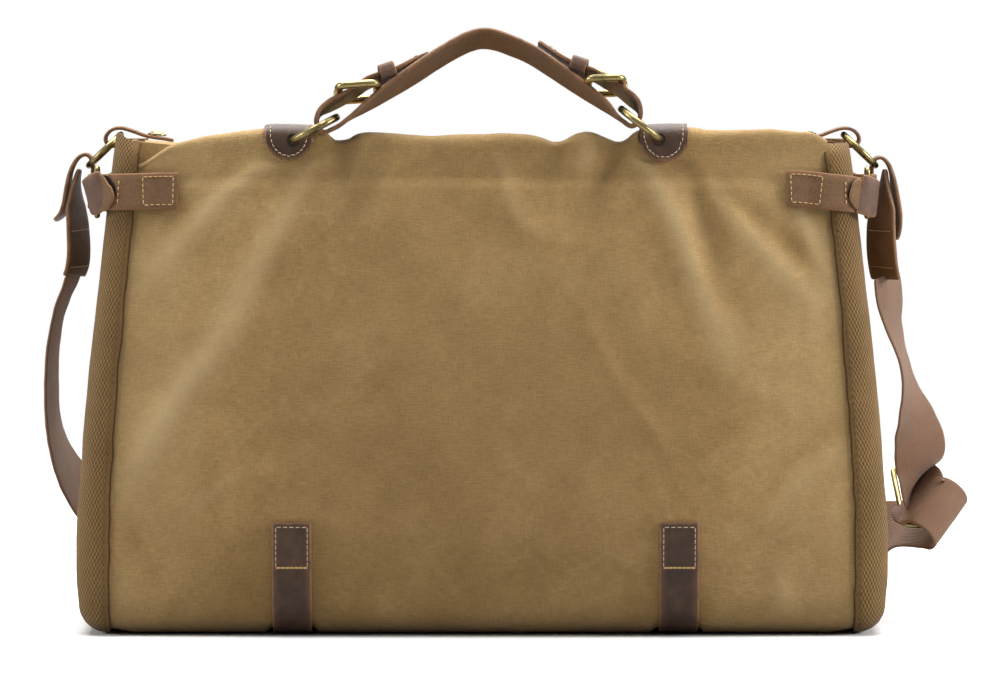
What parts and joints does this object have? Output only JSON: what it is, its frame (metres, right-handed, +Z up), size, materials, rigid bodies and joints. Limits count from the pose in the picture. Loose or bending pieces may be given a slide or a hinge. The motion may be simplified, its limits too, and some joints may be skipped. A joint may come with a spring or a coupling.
{
  "type": "satchel bag",
  "caption": "Canvas satchel with a fold-over flap, leather straps and handle, brass rings and buckles, webbing-bound gussets and an adjustable shoulder strap.",
  "frame": {"origin": "centre of the base, on the floor", "axes": "+Z up, +X to the right when facing the back panel, +Y towards the flap side; the plain back panel faces -Y"},
  "size_m": [0.5163, 0.2124, 0.3519],
  "materials": {
    "canvas": "washed waxed cotton canvas",
    "webbing": "heavy cotton webbing",
    "lining": "plain cotton lining",
    "board": "stiff fibre board",
    "leather": "oiled pull-up leather",
    "brass": "antique brass",
    "strap_webbing": "woven strap webbing"
  },
  "bodies": {
    "bag": {"back_panel": "canvas", "back_tab_left": "leather", "back_tab_right": "leather", "base_board": "board", "bottom_panel": "canvas", "bottom_strap_left": "leather", "bottom_strap_right": "leather", "corner_strap_left": "leather", "corner_strap_right": "leather", "corner_stud_left": "brass", "corner_stud_right": "brass", "front_panel": "canvas", "gusset_left": "canvas", "gusset_right": "canvas", "lining": "lining", "side_strap_left": "leather", "side_strap_right": "leather", "side_webbing_left": "webbing", "side_webbing_right": "webbing", "snap_base_left": "brass", "snap_base_right": "brass"},
    "flap_top": {"flap_shoulder": "canvas", "handle_patch_left": "leather", "handle_patch_right": "leather"},
    "front_flap": {"flap_front": "canvas", "flap_strap_left": "leather", "flap_strap_right": "leather"},
    "front_tab_left": {"front_buckle_left": "brass", "front_keeper_left": "leather", "front_tab_left": "leather", "snap_cap_left": "brass"},
    "front_tab_right": {"front_buckle_right": "brass", "front_keeper_right": "leather", "front_tab_right": "leather", "snap_cap_right": "brass"},
    "front_prong_left": {"front_prong_left": "brass"},
    "front_prong_right": {"front_prong_right": "brass"},
    "handle_rings": {"handle_loop_left": "leather", "handle_loop_right": "leather", "handle_ring_left": "brass", "handle_ring_right": "brass"},
    "handle": {"handle_buckle_left": "brass", "handle_buckle_right": "brass", "handle_keeper_left": "leather", "handle_keeper_right": "leather", "handle_strap": "leather", "handle_tail_left": "leather", "handle_tail_right": "leather"},
    "handle_prong_left": {"handle_prong_left": "brass"},
    "handle_prong_right": {"handle_prong_right": "brass"},
    "strap_rings": {"corner_ring_left": "brass", "corner_ring_right": "brass", "strap_loop_left": "leather", "strap_loop_right": "leather"},
    "shoulder_strap": {"shoulder_webbing": "strap_webbing", "strap_end_left": "leather", "strap_end_right": "leather"},
    "slider": {"strap_slider": "brass"},
    "side_ring_left": {"side_ring_left": "brass"},
    "side_ring_right": {"side_ring_right": "brass"}
  },
  "joints": [
    {"name": "flap_hinge", "type": "hinge", "parent": "bag", "child": "flap_top", "pos_m": [0, -0.0479, 0.2712], "axis": [1, 0, 0], "range_deg": [0, 115]},
    {"name": "flap_bend", "type": "hinge", "parent": "flap_top", "child": "front_flap", "pos_m": [0, 0.0506, 0.279], "axis": [1, 0, 0], "range_deg": [0, 80]},
    {"name": "front_tab_left_hinge", "type": "hinge", "parent": "front_flap", "child": "front_tab_left", "pos_m": [-0.11, 0.0814, 0.0794], "axis": [1, 0, 0], "range_deg": [0, 70]},
    {"name": "front_tab_right_hinge", "type": "hinge", "parent": "front_flap", "child": "front_tab_right", "pos_m": [0.114, 0.0814, 0.0794], "axis": [1, 0, 0], "range_deg": [0, 70]},
    {"name": "front_prong_left_hinge", "type": "hinge", "parent": "front_tab_left", "child": "front_prong_left", "pos_m": [-0.11, 0.0851, 0.0585], "axis": [-1, 0, 0], "range_deg": [0, 75]},
    {"name": "front_prong_right_hinge", "type": "hinge", "parent": "front_tab_right", "child": "front_prong_right", "pos_m": [0.114, 0.0851, 0.0585], "axis": [-1, 0, 0], "range_deg": [0, 75]},
    {"name": "handle_ring_tilt", "type": "hinge", "parent": "flap_top", "child": "handle_rings", "pos_m": [0, -0.041, 0.286], "axis": [1, 0, 0], "range_deg": [-10, 10]},
    {"name": "handle_swing", "type": "hinge", "parent": "handle_rings", "child": "handle", "pos_m": [0, -0.041, 0.303], "axis": [1, 0, 0], "range_deg": [-45, 65]},
    {"name": "handle_prong_left_hinge", "type": "hinge", "parent": "handle", "child": "handle_prong_left", "pos_m": [-0.0824, -0.03711, 0.3137], "axis": [0, 0.9397, -0.342], "range_deg": [-20, 0]},
    {"name": "handle_prong_right_hinge", "type": "hinge", "parent": "handle", "child": "handle_prong_right", "pos_m": [0.0807, -0.03539, 0.3184], "axis": [0, 0.9397, -0.342], "range_deg": [0, 24]},
    {"name": "strap_ring_swing", "type": "hinge", "parent": "bag", "child": "strap_rings", "pos_m": [0, 0, 0.2798], "axis": [1, 0, 0], "range_deg": [-4, 8]},
    {"name": "shoulder_strap_lift", "type": "hinge", "parent": "strap_rings", "child": "shoulder_strap", "pos_m": [0, 0, 0.267], "axis": [1, 0, 0], "range_deg": [0, 145]},
    {"name": "slider_slide", "type": "slide", "parent": "shoulder_strap", "child": "slider", "axis": [0.2011, -0.6521, 0.731], "range_m": [-0.006, 0.006]},
    {"name": "side_ring_left_hinge", "type": "hinge", "parent": "bag", "child": "side_ring_left", "pos_m": [-0.22454, -0.02714, 0.256], "axis": [0, 0, 1], "range_deg": [-4, 4]},
    {"name": "side_ring_right_hinge", "type": "hinge", "parent": "bag", "child": "side_ring_right", "pos_m": [0.22454, -0.02714, 0.256], "axis": [0, 0, 1], "range_deg": [-4, 4]}
  ],
  "couplings": [
    {"joint": "flap_bend", "follows": "flap_hinge", "ratio": 0.69565}
  ]
}
